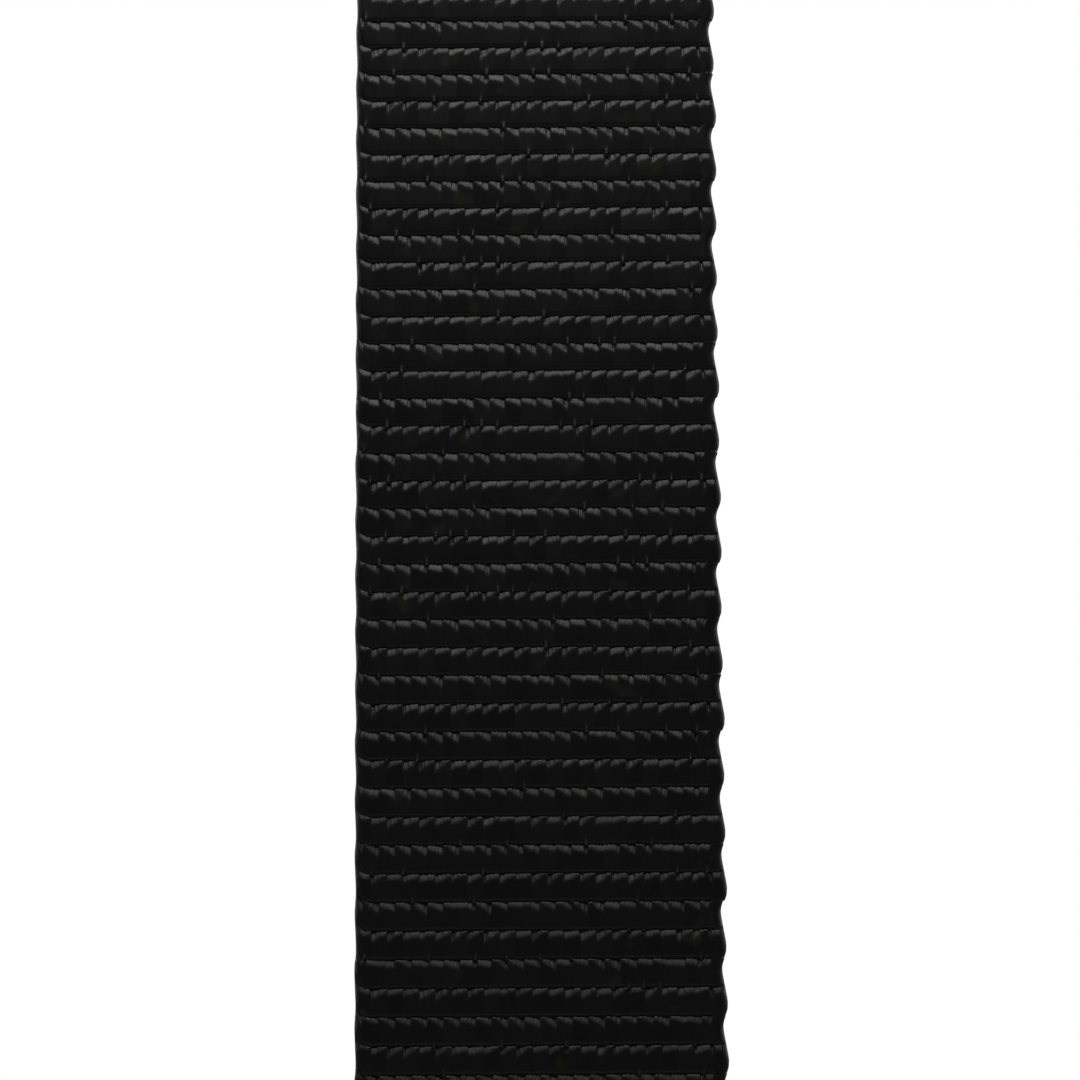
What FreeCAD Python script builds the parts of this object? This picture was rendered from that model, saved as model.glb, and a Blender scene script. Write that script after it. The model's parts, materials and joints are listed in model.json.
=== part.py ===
import FreeCAD, Part
import math
import os

# An adjustable webbing guitar strap, hanging as it does over a shoulder. Millimetres, +Z up.
# The origin is the point of the strap's underside that rests on the shoulder. X runs across
# the webbing. The plain leg hangs at -Y and the adjusting leg at +Y.

Vector = FreeCAD.Vector

# webbing
WEB_WIDTH = 50.0
WEB_THICKNESS = 2.4
SHOULDER_RADIUS = 60.0
PLAIN_LEG = 300.0
ADJUST_LEG = 470.0
DOUBLED_LENGTH = 240.0
HINGE_GAP = 1.6
SLIDE_GAP = 0.4

# leather tabs
LEATHER_THICKNESS = 2.0
TAB_WIDTH = 54.0
TAB_OVERLAP = 40.0
TAB_REACH = 65.0
TAB_TIP_RADIUS = 17.0
TAB_TOP_CORNER = 4.0
TAB_STEP_LENGTH = 12.0
POST_RADIUS = 4.0
POST_CLEARANCE = 0.2
SLIT_WIDTH = 1.2
SLIT_LENGTH = 11.0
SLIT_END_RADIUS = 1.3

# ring
RING_BAR_RADIUS = 2.5
RING_BAR_SPACING = 25.0
RING_CLEARANCE = 0.3
SIDE_CLEARANCE = 1.0
RING_CORNER_SHARE = 0.9
TURN_TAIL = 12.0
KEEPER_LENGTH = 22.0
PLY_GAP = 0.05

# slider
SLIDER_BAR_THICKNESS = 3.5
SLIDER_BAR_HEIGHT = 6.0
SLIDER_BAR_SPACING = 14.0
SLIDER_RAIL = 5.0
RAIL_LIP = 0.6
SLIDER_CLEARANCE = 0.35
SLIDER_EDGE_FILLET = 0.8
LOOP_CLEARANCE = 0.25
LOOP_STEP_LENGTH = 12.0
FLAP_LENGTH = 36.0
FLAP_TO_TAIL = 8.0

# thread
STITCH_PITCH = 5.0
STITCH_LENGTH = 3.4
STITCH_WIDTH = 0.8
STITCH_HEIGHT = 0.5
EDGE_INSET = 3.5
BOX_INSET = 7.0
BOX_MARGIN = 5.0
TACK_PITCH = 3.0
TACK_LENGTH = 2.4
TACK_ROWS = 4
TACK_ROW_PITCH = 5.0
TIP_STEPS = 24

# working limits
TOLERANCE = 1e-4
SEAT_SAMPLES = 8

# places worked out from the sizes above
SHOULDER_Z = -SHOULDER_RADIUS
LEG_Y = SHOULDER_RADIUS + WEB_THICKNESS / 2
PLAIN_TAB_TOP = SHOULDER_Z - PLAIN_LEG + TAB_OVERLAP
TURN_RADIUS = RING_BAR_RADIUS + RING_CLEARANCE + WEB_THICKNESS / 2
RING_Y = LEG_Y - TURN_RADIUS
RING_Z = SHOULDER_Z - ADJUST_LEG
RETURN_Y = RING_Y - TURN_RADIUS
LOWER_BAR_Z = RING_Z - RING_BAR_SPACING
ADJUST_TAB_TOP = LOWER_BAR_Z - KEEPER_LENGTH
LOOP_RADIUS = SLIDER_BAR_THICKNESS / 2 + LOOP_CLEARANCE + WEB_THICKNESS / 2
MIDDLE_BAR_Y = LEG_Y - WEB_THICKNESS - SLIDER_CLEARANCE - LOOP_RADIUS
OUTER_BAR_Y = LEG_Y + WEB_THICKNESS / 2 + SLIDER_CLEARANCE + SLIDER_BAR_THICKNESS / 2
SLIDER_Z = RING_Z + DOUBLED_LENGTH
FLAP_Y = RETURN_Y + WEB_THICKNESS + PLY_GAP
FLAP_END_Z = SLIDER_Z - FLAP_LENGTH
LOOP_TAIL_Z = FLAP_END_Z - FLAP_TO_TAIL
WINDOW_WIDTH = WEB_WIDTH + 2 * SIDE_CLEARANCE
RING_CORNER_RADIUS = RING_BAR_RADIUS + RING_CORNER_SHARE * SIDE_CLEARANCE
KEYHOLE_RADIUS = POST_RADIUS + POST_CLEARANCE


class Band:
    """A flat band seen from its side: a centre line of tangent runs and arcs in the YZ plane."""

    def __init__(self, y, z, heading_deg):
        self.place = (y, z)
        self.heading = math.radians(heading_deg)
        self.pieces = []

    def run(self, length):
        y, z = self.place
        end = (y + length * math.cos(self.heading), z + length * math.sin(self.heading))
        self.pieces.append(("run", self.place, end, self.heading))
        self.place = end
        return self

    def turn(self, radius, angle_deg):
        """An arc that turns left for a positive angle and right for a negative one."""
        sweep = math.radians(angle_deg)
        side = math.copysign(1.0, sweep)
        y, z = self.place
        centre = (
            y - side * radius * math.sin(self.heading),
            z + side * radius * math.cos(self.heading),
        )
        start = math.atan2(z - centre[1], y - centre[0])
        self.pieces.append(("arc", centre, radius, start, sweep))
        self.place = (
            centre[0] + radius * math.cos(start + sweep),
            centre[1] + radius * math.sin(start + sweep),
        )
        self.heading += sweep
        return self

    def step(self, offset, length):
        """Two opposite arcs that shift the band to its left by offset over a length."""
        angle = 2 * math.atan(abs(offset) / length)
        radius = length / (2 * math.sin(angle))
        turn = math.degrees(math.copysign(angle, offset))
        return self.turn(radius, turn).turn(radius, -turn)

    def _edge(self, piece, shift):
        """The edge that runs beside one piece of the centre line, shift to its left."""
        if piece[0] == "run":
            _, start, end, heading = piece
            dy, dz = -shift * math.sin(heading), shift * math.cos(heading)
            return Part.LineSegment(
                Vector(0, start[0] + dy, start[1] + dz), Vector(0, end[0] + dy, end[1] + dz)
            ).toShape()
        _, centre, radius, start, sweep = piece
        reach = radius - math.copysign(1.0, sweep) * shift
        points = [
            Vector(0, centre[0] + reach * math.cos(a), centre[1] + reach * math.sin(a))
            for a in (start, start + sweep / 2, start + sweep)
        ]
        return Part.Arc(*points).toShape()

    def solid(self, thickness, width):
        left = [self._edge(piece, thickness / 2) for piece in self.pieces]
        right = [self._edge(piece, -thickness / 2) for piece in self.pieces]
        caps = []
        for end in (0, -1):
            a = left[end].Vertexes[end].Point
            b = right[end].Vertexes[end].Point
            caps.append(Part.LineSegment(a, b).toShape())
        edges = [edge for group in Part.sortEdges(left + right + caps) for edge in group]
        face = Part.Face(Part.Wire(edges))
        face.translate(Vector(-width / 2, 0, 0))
        return face.extrude(Vector(width, 0, 0))

    def surface_y(self, z, shift):
        """Where the surface that runs shift beside an upright band's centre line is at a height."""
        for piece in self.pieces:
            if piece[0] == "run":
                _, start, end, _ = piece
                heights = (start[1], end[1])
                y = start[0] + shift
            else:
                _, centre, radius, start, sweep = piece
                side = math.copysign(1.0, math.cos(start + sweep / 2))
                reach = radius + side * shift
                heights = [centre[1] + reach * math.sin(a) for a in (start, start + sweep)]
                y = centre[0] + side * math.sqrt(max(0.0, reach**2 - (z - centre[1]) ** 2))
            if min(heights) - TOLERANCE <= z <= max(heights) + TOLERANCE:
                return y
        raise ValueError("no surface at that height")

    def seat(self, z, half_height, shift):
        """Middle and lean of a straight thing that lies on that surface without cutting into it."""
        low, high = (self.surface_y(z + rise, shift) for rise in (-half_height, half_height))
        outward = math.copysign(1.0, shift)
        proud = 0.0
        for n in range(SEAT_SAMPLES + 1):
            share = n / SEAT_SAMPLES
            chord_y = low + share * (high - low)
            surface_y = self.surface_y(z + (2 * share - 1) * half_height, shift)
            proud = max(proud, outward * (surface_y - chord_y))
        lean = math.atan2(low - high, 2 * half_height)
        return (low + high) / 2 + outward * proud, lean


def upright_web(y, z_top, z_bottom):
    return Band(y, z_top, -90).run(z_top - z_bottom).solid(WEB_THICKNESS, WEB_WIDTH)


def shoulder_webbing():
    return Band(-LEG_Y, SHOULDER_Z, 90).turn(LEG_Y, -180).solid(WEB_THICKNESS, WEB_WIDTH)


def turn_webbing():
    """The webbing's turn under the ring's upper bar."""
    path = Band(LEG_Y, RING_Z + TURN_TAIL, -90).run(TURN_TAIL)
    return path.turn(TURN_RADIUS, -180).run(TURN_TAIL).solid(WEB_THICKNESS, WEB_WIDTH)


def pressed_plies(y, z_bottom, z_top):
    """What fills the gap between two plies of webbing where they are sewn flat together."""
    return Part.makeBox(
        WEB_WIDTH, PLY_GAP, z_top - z_bottom, Vector(-WEB_WIDTH / 2, y - PLY_GAP / 2, z_bottom)
    )


def end_loop_webbing():
    """The webbing's end, folded over the slider's middle bar and sewn back on itself."""
    bar_end = SLIDER_BAR_HEIGHT / 2 - SLIDER_BAR_THICKNESS / 2
    near_y = MIDDLE_BAR_Y - LOOP_RADIUS
    far_y = MIDDLE_BAR_Y + LOOP_RADIUS
    step_top = SLIDER_Z - SLIDER_BAR_HEIGHT / 2
    step_bottom = step_top - LOOP_STEP_LENGTH
    path = Band(RETURN_Y, LOOP_TAIL_Z, 90).run(step_bottom - LOOP_TAIL_Z)
    path.step(RETURN_Y - near_y, LOOP_STEP_LENGTH).run(SLIDER_Z + bar_end - step_top)
    path.turn(LOOP_RADIUS, -180).run(SLIDER_Z + bar_end - step_top)
    path.step(FLAP_Y - far_y, LOOP_STEP_LENGTH).run(step_bottom - FLAP_END_Z)
    sewn = pressed_plies((RETURN_Y + FLAP_Y) / 2, FLAP_END_Z, step_bottom)
    return path.solid(WEB_THICKNESS, WEB_WIDTH).fuse(sewn).removeSplitter()


def keeper_webbing():
    """The short webbing loop that ties the ring to the adjusting tab, with both ends sewn in."""
    ply_y = (WEB_THICKNESS + PLY_GAP) / 2
    spread = TURN_RADIUS - ply_y
    step_bottom = LOWER_BAR_Z - TURN_RADIUS - TAB_STEP_LENGTH
    sewn = step_bottom - (ADJUST_TAB_TOP - TAB_OVERLAP)
    path = Band(RING_Y - ply_y, ADJUST_TAB_TOP - TAB_OVERLAP, 90).run(sewn)
    path.step(spread, TAB_STEP_LENGTH).run(TURN_RADIUS).turn(TURN_RADIUS, -180)
    path.run(TURN_RADIUS).step(-spread, TAB_STEP_LENGTH).run(sewn)
    plies = pressed_plies(RING_Y, ADJUST_TAB_TOP - TAB_OVERLAP, step_bottom)
    return path.solid(WEB_THICKNESS, WEB_WIDTH).fuse(plies).removeSplitter()


class Tab:
    """A strap end of two leather panels, sewn over webbing and to each other."""

    def __init__(self, y, top, core):
        self.y = y
        self.top = top
        self.web_end = top - TAB_OVERLAP
        self.tip = self.web_end - TAB_REACH
        self.hole_z = self.tip + TAB_TIP_RADIUS
        self.core = core

    def panel_path(self, side):
        """The panel's centre line, which steps in from the webbing to meet the other panel."""
        start = self.y + side * (self.core + LEATHER_THICKNESS) / 2
        path = Band(start, self.top, -90).run(TAB_OVERLAP)
        path.step(-side * self.core / 2, TAB_STEP_LENGTH)
        return path.run(TAB_REACH - TAB_STEP_LENGTH)

    def outline_points(self, inset):
        """Right half of the outline in XZ: top, start of the taper, and where the tip's arc starts."""
        half = TAB_WIDTH / 2 - inset
        tip_radius = TAB_TIP_RADIUS - inset
        rise = self.web_end - self.hole_z
        distance = math.hypot(half, rise)
        tangent = math.atan2(rise, half) - math.acos(tip_radius / distance)
        touch = (tip_radius * math.cos(tangent), self.hole_z + tip_radius * math.sin(tangent))
        return half, tip_radius, touch

    def outline_wire(self):
        half, tip_radius, (touch_x, touch_z) = self.outline_points(0)
        c = TAB_TOP_CORNER
        diagonal = c * (1 - math.sqrt(0.5))
        top, side = self.top, self.web_end
        edges = [
            Part.LineSegment(Vector(c - half, 0, top), Vector(half - c, 0, top)).toShape(),
            Part.LineSegment(Vector(half, 0, top - c), Vector(half, 0, side)).toShape(),
            Part.LineSegment(Vector(half, 0, side), Vector(touch_x, 0, touch_z)).toShape(),
            Part.Arc(
                Vector(touch_x, 0, touch_z), Vector(0, 0, self.tip), Vector(-touch_x, 0, touch_z)
            ).toShape(),
            Part.LineSegment(Vector(-touch_x, 0, touch_z), Vector(-half, 0, side)).toShape(),
            Part.LineSegment(Vector(-half, 0, side), Vector(-half, 0, top - c)).toShape(),
        ]
        for sign in (-1, 1):
            edges.append(
                Part.Arc(
                    Vector(sign * (half - c), 0, top),
                    Vector(sign * (half - diagonal), 0, top - diagonal),
                    Vector(sign * half, 0, top - c),
                ).toShape()
            )
        return Part.Wire(Part.sortEdges(edges)[0])

    def through(self, wire):
        """A solid of that outline that passes through both panels."""
        depth = self.core + 4 * LEATHER_THICKNESS
        face = Part.Face(wire)
        face.translate(Vector(0, self.y - depth / 2, 0))
        return face.extrude(Vector(0, depth, 0))

    def keyhole(self):
        depth = self.core + 4 * LEATHER_THICKNESS
        back = self.y - depth / 2
        along = Vector(0, 1, 0)
        hole = Part.makeCylinder(KEYHOLE_RADIUS, depth, Vector(0, back, self.hole_z), along)
        slit_top = self.hole_z + KEYHOLE_RADIUS + SLIT_LENGTH
        slit = Part.makeBox(
            SLIT_WIDTH, depth, slit_top - self.hole_z, Vector(-SLIT_WIDTH / 2, back, self.hole_z)
        )
        end = Part.makeCylinder(SLIT_END_RADIUS, depth, Vector(0, back, slit_top), along)
        return hole.fuse([slit, end])

    def panel(self, side):
        band = self.panel_path(side).solid(LEATHER_THICKNESS, 2 * TAB_WIDTH)
        return band.common(self.through(self.outline_wire())).cut(self.keyhole())

    def edge_route(self):
        """The sewn line that follows the whole outline, as points a stitch pitch apart or less."""
        half, tip_radius, (touch_x, touch_z) = self.outline_points(EDGE_INSET)
        start = math.atan2(touch_z - self.hole_z, touch_x)
        sweep = -math.pi - 2 * start
        arc = []
        for n in range(TIP_STEPS + 1):
            angle = start + sweep * n / TIP_STEPS
            arc.append((tip_radius * math.cos(angle), self.hole_z + tip_radius * math.sin(angle)))
        top = self.top - EDGE_INSET
        side = self.web_end
        return [(-half, top), (half, top), (half, side), *arc, (-half, side), (-half, top)]

    def box_routes(self):
        """The box and its crossed diagonals, sewn through the webbing."""
        half = WEB_WIDTH / 2 - BOX_INSET
        top = self.top - EDGE_INSET - BOX_MARGIN
        low = self.web_end + BOX_MARGIN
        box = [(-half, top), (half, top), (half, low), (-half, low), (-half, top)]
        return [box, [(-half, top), (half, low)], [(half, top), (-half, low)]]

    def stitches(self, routes):
        """Stitches lying on the outside of both panels."""
        solids = []
        for side in (-1, 1):
            path = self.panel_path(side)
            for route in routes:
                for x, z, angle in stitch_places(route, STITCH_PITCH):
                    rise = STITCH_LENGTH * abs(math.sin(angle)) + STITCH_WIDTH * abs(math.cos(angle))
                    y, lean = path.seat(z, rise / 2, side * LEATHER_THICKNESS / 2)
                    stitch = stitch_solid(STITCH_LENGTH, side)
                    stitch.rotate(Vector(0, 0, 0), Vector(0, 1, 0), -math.degrees(angle))
                    stitch.rotate(Vector(0, 0, 0), Vector(1, 0, 0), math.degrees(lean))
                    stitch.translate(Vector(x, y, z))
                    solids.append(stitch)
        return Part.makeCompound(solids)


def stitch_solid(length, side):
    """One stitch along X, standing on the XZ plane and rising to the side given."""
    start = min(0.0, side * STITCH_HEIGHT)
    corner = Vector(-length / 2, start, -STITCH_WIDTH / 2)
    return Part.makeBox(length, STITCH_HEIGHT, STITCH_WIDTH, corner)


def stitch_places(route, pitch):
    """Middles and directions of evenly spaced stitches along a route, clear of its corners."""
    lengths = [math.dist(a, b) for a, b in zip(route, route[1:])]
    total = sum(lengths)
    count = int(total // pitch)
    places = []
    for n in range(count):
        distance = (n + 0.5) * total / count
        for (a, b), length in zip(zip(route, route[1:]), lengths):
            if distance <= length:
                break
            distance -= length
        t = distance / length
        angle = math.atan2(b[1] - a[1], b[0] - a[0])
        near = min(distance, length - distance)
        long_run = length > 2 * pitch
        if near >= STITCH_LENGTH / 2 or not long_run:
            places.append((a[0] + t * (b[0] - a[0]), a[1] + t * (b[1] - a[1]), angle))
    return places


def end_tack_stitching():
    """Rows of tacking across the webbing's sewn end, on both of its outer faces."""
    half = WEB_WIDTH / 2 - BOX_MARGIN
    count = int(2 * half // TACK_PITCH)
    faces = ((-1, RETURN_Y - WEB_THICKNESS / 2), (1, FLAP_Y + WEB_THICKNESS / 2))
    solids = []
    for side, y in faces:
        for row in range(TACK_ROWS):
            z = FLAP_END_Z + BOX_MARGIN / 2 + row * TACK_ROW_PITCH
            for n in range(count + 1):
                stitch = stitch_solid(TACK_LENGTH, side)
                stitch.translate(Vector(-half + n * 2 * half / count, y, z))
                solids.append(stitch)
    return Part.makeCompound(solids)


def ring():
    """A rectangular ring of round bar, lying in the XZ plane."""
    half_x = WINDOW_WIDTH / 2 + RING_BAR_RADIUS
    half_z = RING_BAR_SPACING / 2
    straight_x = half_x - RING_CORNER_RADIUS
    straight_z = half_z - RING_CORNER_RADIUS
    middle = Vector(0, RING_Y, (RING_Z + LOWER_BAR_Z) / 2)
    pieces = []
    for sign in (-1, 1):
        flat = middle + Vector(-straight_x, 0, sign * half_z)
        upright = middle + Vector(sign * half_x, 0, -straight_z)
        pieces.append(Part.makeCylinder(RING_BAR_RADIUS, 2 * straight_x, flat, Vector(1, 0, 0)))
        pieces.append(Part.makeCylinder(RING_BAR_RADIUS, 2 * straight_z, upright, Vector(0, 0, 1)))
        for up in (-1, 1):
            start = middle + Vector(sign * half_x, 0, up * straight_z)
            axis = middle + Vector(sign * straight_x, 0, up * straight_z)
            circle = Part.Circle(start, Vector(0, 0, 1), RING_BAR_RADIUS).toShape()
            disc = Part.Face(Part.Wire(circle))
            pieces.append(disc.revolve(axis, Vector(0, 1, 0), -90 * sign * up))
    return pieces[0].fuse(pieces[1:]).removeSplitter()


def rounded_bar(y, z):
    """A slider bar along X, with round ends to its section, that ends inside both rails."""
    length = WINDOW_WIDTH + SLIDER_RAIL
    radius = SLIDER_BAR_THICKNESS / 2
    straight = SLIDER_BAR_HEIGHT - SLIDER_BAR_THICKNESS
    start = Vector(-length / 2, y, z - straight / 2)
    low = Part.makeCylinder(radius, length, start, Vector(1, 0, 0))
    high = Part.makeCylinder(radius, length, start + Vector(0, 0, straight), Vector(1, 0, 0))
    core = Part.makeBox(length, 2 * radius, straight, start - Vector(0, radius, 0))
    return core.fuse([low, high])


def rail(side):
    """A side rail: a rounded triangle that joins the two outer bars to the middle one."""
    x = WINDOW_WIDTH / 2 if side > 0 else -WINDOW_WIDTH / 2 - SLIDER_RAIL
    radius = SLIDER_BAR_HEIGHT / 2 + RAIL_LIP
    inset = radius - SLIDER_BAR_THICKNESS / 2 - RAIL_LIP
    corners = [
        (OUTER_BAR_Y - inset, SLIDER_Z - SLIDER_BAR_SPACING),
        (OUTER_BAR_Y - inset, SLIDER_Z + SLIDER_BAR_SPACING),
        (MIDDLE_BAR_Y + inset, SLIDER_Z),
    ]
    middle = (sum(y for y, _ in corners) / 3, sum(z for _, z in corners) / 3)
    edges = []
    ends = []
    for start, end in zip(corners, corners[1:] + corners[:1]):
        length = math.dist(start, end)
        out = ((end[1] - start[1]) / length * radius, -(end[0] - start[0]) / length * radius)
        if (start[0] - middle[0]) * out[0] + (start[1] - middle[1]) * out[1] < 0:
            out = (-out[0], -out[1])
        points = [Vector(x, p[0] + out[0], p[1] + out[1]) for p in (start, end)]
        edges.append(Part.LineSegment(*points).toShape())
        ends.append(points)
    for n, (y, z) in enumerate(corners):
        reach = math.dist((y, z), middle)
        out_y = (y - middle[0]) / reach * radius
        out_z = (z - middle[1]) / reach * radius
        crown = Vector(x, y + out_y, z + out_z)
        edges.append(Part.Arc(ends[n - 1][1], crown, ends[n][0]).toShape())
    plate = Part.Face(Part.Wire(Part.sortEdges(edges)[0])).extrude(Vector(SLIDER_RAIL, 0, 0))
    outside = side * (WINDOW_WIDTH / 2 + SLIDER_RAIL)
    rim = [
        edge
        for edge in plate.Edges
        if all(abs(vertex.Point.x - outside) < TOLERANCE for vertex in edge.Vertexes)
    ]
    return plate.makeFillet(SLIDER_EDGE_FILLET, rim)


def slider():
    """A slide whose middle bar is set back, so that the adjusting leg runs straight through it."""
    bars = [
        rounded_bar(OUTER_BAR_Y, SLIDER_Z + SLIDER_BAR_SPACING),
        rounded_bar(OUTER_BAR_Y, SLIDER_Z - SLIDER_BAR_SPACING),
        rounded_bar(MIDDLE_BAR_Y, SLIDER_Z),
    ]
    return rail(-1).fuse([rail(1)] + bars).removeSplitter()


def build():
    plain = Tab(-LEG_Y, PLAIN_TAB_TOP, WEB_THICKNESS)
    adjust = Tab(RING_Y, ADJUST_TAB_TOP, 2 * WEB_THICKNESS + PLY_GAP)
    turn_top = RING_Z + TURN_TAIL + SLIDE_GAP
    nodes = {
        "shoulder_webbing": shoulder_webbing(),
        "plain_webbing": upright_web(-LEG_Y, SHOULDER_Z - HINGE_GAP, PLAIN_TAB_TOP + HINGE_GAP),
        "plain_webbing_end": upright_web(-LEG_Y, PLAIN_TAB_TOP, plain.web_end),
        "adjust_webbing": upright_web(LEG_Y, SHOULDER_Z - HINGE_GAP, turn_top),
        "return_webbing": upright_web(RETURN_Y, LOOP_TAIL_Z - SLIDE_GAP, turn_top),
        "turn_webbing": turn_webbing(),
        "end_loop_webbing": end_loop_webbing(),
        "end_tack_stitching": end_tack_stitching(),
        "slider": slider(),
        "ring": ring(),
        "keeper_webbing": keeper_webbing(),
    }
    for name, tab, outward in (("plain", plain, -1), ("adjust", adjust, 1)):
        nodes[name + "_tab_face"] = tab.panel(outward)
        nodes[name + "_tab_back"] = tab.panel(-outward)
        nodes[name + "_tab_edge_stitching"] = tab.stitches([tab.edge_route()])
        nodes[name + "_tab_box_stitching"] = tab.stitches(tab.box_routes())
    return nodes


def main():
    os.makedirs("parts", exist_ok=True)
    for name, shape in build().items():
        if not shape.isValid() or not shape.Solids:
            raise ValueError(name + " is not a valid solid")
        shape.exportStep(os.path.join("parts", name + ".step"))
        print(name, len(shape.Solids), round(shape.Volume, 1))


main()
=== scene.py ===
import json
import math
import bmesh
import bpy
import numpy as np
from mathutils import Matrix, Vector
from mathutils.geometry import delaunay_2d_cdt


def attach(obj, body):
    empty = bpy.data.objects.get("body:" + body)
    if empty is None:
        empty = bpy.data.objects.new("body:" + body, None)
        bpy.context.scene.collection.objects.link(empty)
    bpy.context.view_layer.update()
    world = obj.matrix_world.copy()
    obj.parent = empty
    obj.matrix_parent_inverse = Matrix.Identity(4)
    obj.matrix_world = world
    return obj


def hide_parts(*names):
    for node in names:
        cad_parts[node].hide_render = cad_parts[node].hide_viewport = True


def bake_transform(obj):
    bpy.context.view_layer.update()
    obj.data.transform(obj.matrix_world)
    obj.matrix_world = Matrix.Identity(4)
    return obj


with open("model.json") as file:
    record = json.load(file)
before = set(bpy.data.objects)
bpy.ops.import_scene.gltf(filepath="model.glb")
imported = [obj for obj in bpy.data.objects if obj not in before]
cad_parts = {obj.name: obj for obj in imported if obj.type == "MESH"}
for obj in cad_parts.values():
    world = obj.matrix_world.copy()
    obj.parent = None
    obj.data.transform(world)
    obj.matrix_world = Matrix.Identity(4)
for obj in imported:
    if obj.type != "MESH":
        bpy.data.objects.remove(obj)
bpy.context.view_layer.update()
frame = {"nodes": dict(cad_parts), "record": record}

# A black webbing guitar strap hanging over a shoulder's width. Metres, +Z up, in the CAD's frame.

# webbing
WEB_WIDTH = 0.050
WEB_THICKNESS = 0.0024
WEB_VALLEY = 0.0014
RIB_PITCH = 0.003848
FLOATS_ACROSS = 23
FLOAT_PITCH = WEB_WIDTH / FLOATS_ACROSS
LEG_Y = 0.0612
SHOULDER_Z = -0.060
PLAIN_LEG = 0.300
ADJUST_LEG = 0.470
PLAIN_END_Z = SHOULDER_Z - PLAIN_LEG
RING_Z = SHOULDER_Z - ADJUST_LEG
TURN_RADIUS = 0.0040
TURN_TAIL = 0.012
RETURN_Y = LEG_Y - 2 * TURN_RADIUS
LEG_CUT_Z = -0.100
PLAIN_CUT_Z = -0.280
LOWER_BAR_Z = RING_Z - 0.025
KEEPER_LENGTH = 0.022
TAB_OVERLAP = 0.040
TAB_STEP_LENGTH = 0.012
PLY_GAP = 0.00005

# leather tabs
LEATHER = 0.002
TAB_WIDTH = 0.054
TAB_REACH = 0.065
TAB_TIP_RADIUS = 0.017
TAB_CORNER = 0.004
KEYHOLE_RADIUS = 0.0042
SLIT_HALF_WIDTH = 0.0006
SLIT_LENGTH = 0.011
SLIT_END_RADIUS = 0.0013
EDGE_INSET = 0.0035
BOX_INSET = 0.007
BOX_MARGIN = 0.005
EDGE_ROUNDING = 0.0008
ROUNDING_STEPS = (0.0, 0.0001, 0.0003, EDGE_ROUNDING)
FIELD_INSET = 1.6 * EDGE_ROUNDING
SMALLEST_CORNER = 0.0003
CHANNEL_DEPTH = 0.00022
CHANNEL_WIDTH = 0.0007
PUFF = 0.00016
PUFF_REACH = 0.003
GRAIN_SPACING = 0.0011

# thread
STITCH_LENGTH = 0.0034
TACK_LENGTH = 0.0024
STITCH_HEIGHT = 0.0005
THREAD_RADIUS = 0.00036
THREAD_TURNS = 1.1
THREAD_NECK = 0.82
THREAD_OVERRUN = 1.12
THREAD_PROUD = 0.6
THREAD_DIVE = 0.9
THREAD_TAPER_END = 0.12
SIZE_TOLERANCE = 0.03

# slider, as far as the webbing needs it
SLIDER_Z = RING_Z + 0.240
SLIDER_BAR_HEIGHT = 0.006
SLIDER_BAR_THICKNESS = 0.0035
RUN_CLEARANCE = 0.00035
LOOP_RADIUS = 0.0032
LOOP_STEP_LENGTH = 0.012
MIDDLE_BAR_Y = LEG_Y - WEB_THICKNESS - RUN_CLEARANCE - LOOP_RADIUS
FLAP_Y = RETURN_Y + WEB_THICKNESS + PLY_GAP
FLAP_END_Z = SLIDER_Z - 0.036
LOOP_TAIL_Z = FLAP_END_Z - 0.008

# camera
VIEW_Z = -0.195
VIEW_TILT = math.radians(8.0)
VIEW_ROLL = math.radians(-0.371)
VIEW_DISTANCE = 0.435
VIEW_HEIGHT = 0.1483
VIEW_SHIFT_X = 0.00036
SENSOR = 36.0

# studio
FILL = 0.018
OVERHEAD = 0.28
FLOOR_Z = -1.2
FLOOR_SIZE = 6.0
SOFTBOX_Y = 0.56
SOFTBOX_Z = 0.67
SOFTBOX_SIZE = (1.0, 0.25)
SOFTBOX_POWER = 4.2
SIDE_X = 1.3
SIDE_Z = 0.25
SIDE_SIZE = (0.4, 1.0)
SIDE_ENDS = (("front", -0.45, 0.7), ("rear", 0.80, 3.0))
STRAP_MIDDLE = (0, 0, -0.34)


class Path:
    """The middle of a band in the YZ plane, made of tangent runs and arcs, by distance along it."""

    def __init__(self, y, z, heading_deg):
        self.place = (y, z)
        self.heading = math.radians(heading_deg)
        self.length = 0.0
        self.pieces = []

    def _add(self, length, curvature):
        self.pieces.append((self.length, length, self.place, self.heading, curvature))
        (y, z), _ = self.at(np.array([self.length + length]))
        self.place = (float(y[0]), float(z[0]))
        self.heading += length * curvature
        self.length += length
        return self

    def run(self, length):
        return self._add(length, 0.0)

    def turn(self, radius, angle_deg):
        angle = math.radians(angle_deg)
        return self._add(abs(angle) * radius, math.copysign(1 / radius, angle))

    def step(self, offset, length):
        """Two opposite arcs that shift the band to its left by offset over a length."""
        angle = 2 * math.atan(abs(offset) / length)
        radius = length / (2 * math.sin(angle))
        turn = math.degrees(math.copysign(angle, offset))
        return self.turn(radius, turn).turn(radius, -turn)

    def at(self, distance):
        """Points and left-hand normals, each as (y, z) arrays."""
        y, z = np.zeros_like(distance), np.zeros_like(distance)
        heading = np.zeros_like(distance)
        for start, length, (y0, z0), h0, curvature in self.pieces:
            here = distance >= start - 1e-9
            t = distance[here] - start
            h = h0 + curvature * t
            heading[here] = h
            if curvature:
                y[here] = y0 + (np.sin(h) - math.sin(h0)) / curvature
                z[here] = z0 - (np.cos(h) - math.cos(h0)) / curvature
            else:
                y[here] = y0 + t * math.cos(h0)
                z[here] = z0 + t * math.sin(h0)
        return (y, z), (-np.sin(heading), np.cos(heading))


# ---------------------------------------------------------------- weave

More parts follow.
